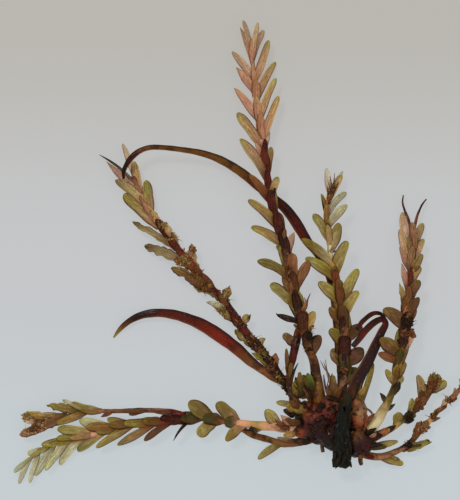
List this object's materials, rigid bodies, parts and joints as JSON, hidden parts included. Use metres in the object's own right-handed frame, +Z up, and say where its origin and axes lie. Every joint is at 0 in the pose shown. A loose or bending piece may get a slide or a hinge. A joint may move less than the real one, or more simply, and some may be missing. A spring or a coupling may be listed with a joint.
{
  "type": "uprooted water plant",
  "caption": "Small uprooted river plant lying flat: a lumpy crown with an old root, leafy three-ranked shoots spreading like a fan, and curved ribbon roots.",
  "frame": {"origin": "centre of the plant's footprint, on the surface that it lies on", "axes": "+Z up from that surface, +Y the way that the tallest shoot points, +X to the right of it seen from above"},
  "size_m": [0.0466, 0.0466, 0.0046],
  "materials": {
    "leafy_shoot": "satin, moist and a little translucent",
    "brown_shoot": "matt, coated with brown algae",
    "crown": "satin, moist",
    "ribbon": "smooth and glossy where it is wet",
    "runner": "satin, moist",
    "old_root": "rough and matt"
  },
  "bodies": {
    "root": {"crown": "crown", "old_root_stump": "old_root", "tall_shoot": "leafy_shoot", "short_shoot": "leafy_shoot", "middle_shoot": "leafy_shoot", "right_shoot": "leafy_shoot", "short_right_shoot": "leafy_shoot", "long_right_shoot": "brown_shoot", "left_shoot": "leafy_shoot", "left_brown_shoot": "brown_shoot", "left_runner": "runner", "left_tall_shoot": "brown_shoot", "arched_ribbon": "ribbon", "strap_ribbon": "ribbon", "hooked_ribbon": "ribbon", "pale_ribbon": "ribbon"}
  },
  "joints": []
}
